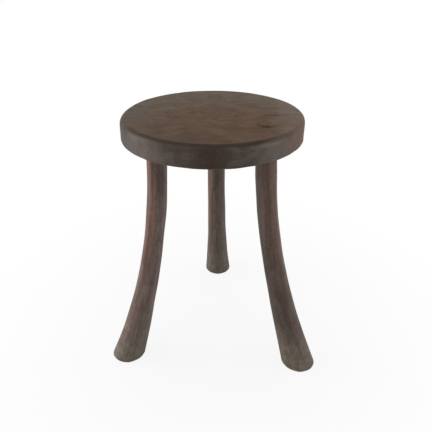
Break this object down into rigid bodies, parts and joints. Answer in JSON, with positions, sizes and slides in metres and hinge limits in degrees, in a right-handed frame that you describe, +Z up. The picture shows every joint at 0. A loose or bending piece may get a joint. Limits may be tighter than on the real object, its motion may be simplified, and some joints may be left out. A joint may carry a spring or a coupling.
{
  "type": "lobi stool",
  "caption": "Low carved stool: round plank seat on splayed, club-footed legs whose round tenons pass through the seat and are wedged from above.",
  "frame": {"origin": "the middle of the round sitting face; the floor is 0.46 m below it", "axes": "+Z up, +Y towards the rear leg, +X along the seat's grain, towards the right-hand front leg"},
  "size_m": [0.3965, 0.3743, 0.4625],
  "materials": {
    "seat_wood": "dark oiled hardwood with a satin hand-rubbed patina, grain across the seat",
    "leg_wood": "dark reddish hardwood with a satin patina, grain along the leg, greyer worn feet",
    "wedge_wood": "dark hardwood, cut flush and darkened with the seat"
  },
  "bodies": {
    "root": {"seat": "seat_wood", "leg_rear": "leg_wood", "leg_front_right": "leg_wood", "leg_front_left": "leg_wood", "wedge_rear": "wedge_wood", "wedge_front_right": "wedge_wood", "wedge_front_left": "wedge_wood"}
  },
  "joints": []
}
